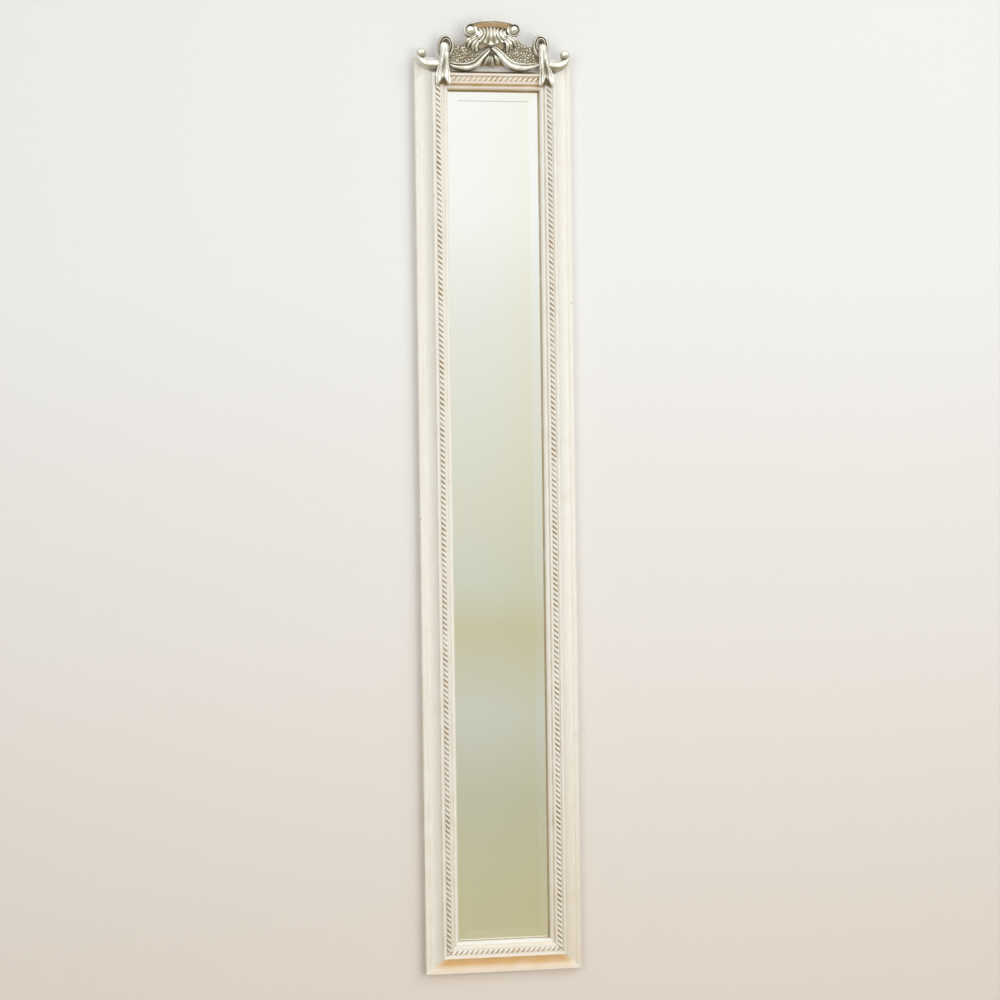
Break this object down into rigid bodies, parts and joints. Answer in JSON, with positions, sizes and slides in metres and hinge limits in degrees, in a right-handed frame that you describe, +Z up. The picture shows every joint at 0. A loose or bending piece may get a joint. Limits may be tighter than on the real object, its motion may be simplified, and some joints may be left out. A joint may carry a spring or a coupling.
{
  "type": "wall mirror",
  "caption": "Narrow bevelled wall mirror in a cream moulded frame with a laid-in rope strip and a silvered ribbon-and-shell crest.",
  "frame": {"origin": "on the wall plane and the middle plane, at the height of the hanger's hinge axis", "axes": "+X to the viewer's right, +Y into the wall, +Z up"},
  "size_m": [0.225, 0.0408, 1.354],
  "materials": {
    "painted_wood": "distressed satin paint",
    "silvered_composition": "antiqued silver leaf",
    "mirror": "polished",
    "hardboard": "smooth brown",
    "steel": "plain",
    "plated_steel": "zinc plated",
    "rubber": "matt"
  },
  "bodies": {
    "mirror": {"backing_board": "hardboard", "bottom_rail": "painted_wood", "bottom_rope": "painted_wood", "bow_loop_left": "silvered_composition", "bow_loop_right": "silvered_composition", "bow_tail_left": "silvered_composition", "bow_tail_right": "silvered_composition", "corner_wedges": "steel", "crest_board": "silvered_composition", "crest_hood": "silvered_composition", "crest_screws": "steel", "crest_shell": "silvered_composition", "curled_leaf_left": "silvered_composition", "curled_leaf_right": "silvered_composition", "glazing_points": "steel", "hanger_screw": "steel", "hanger_strap": "plated_steel", "leaf_drop": "silvered_composition", "left_rope": "painted_wood", "left_stile": "painted_wood", "mirror_glass": "mirror", "right_rope": "painted_wood", "right_stile": "painted_wood", "scroll_arm_left": "silvered_composition", "scroll_arm_right": "silvered_composition", "swag_left": "silvered_composition", "swag_right": "silvered_composition", "top_rail": "painted_wood", "top_rope": "painted_wood", "volute_left": "silvered_composition", "volute_right": "silvered_composition", "wall_bumpers": "rubber"},
    "ring": {"hanger_ring": "plated_steel"}
  },
  "joints": [
    {"name": "hanger_ring_swing", "type": "hinge", "parent": "mirror", "child": "ring", "pos_m": [0, -0.00355, 0], "axis": [1, 0, 0], "range_deg": [0, 180]}
  ]
}
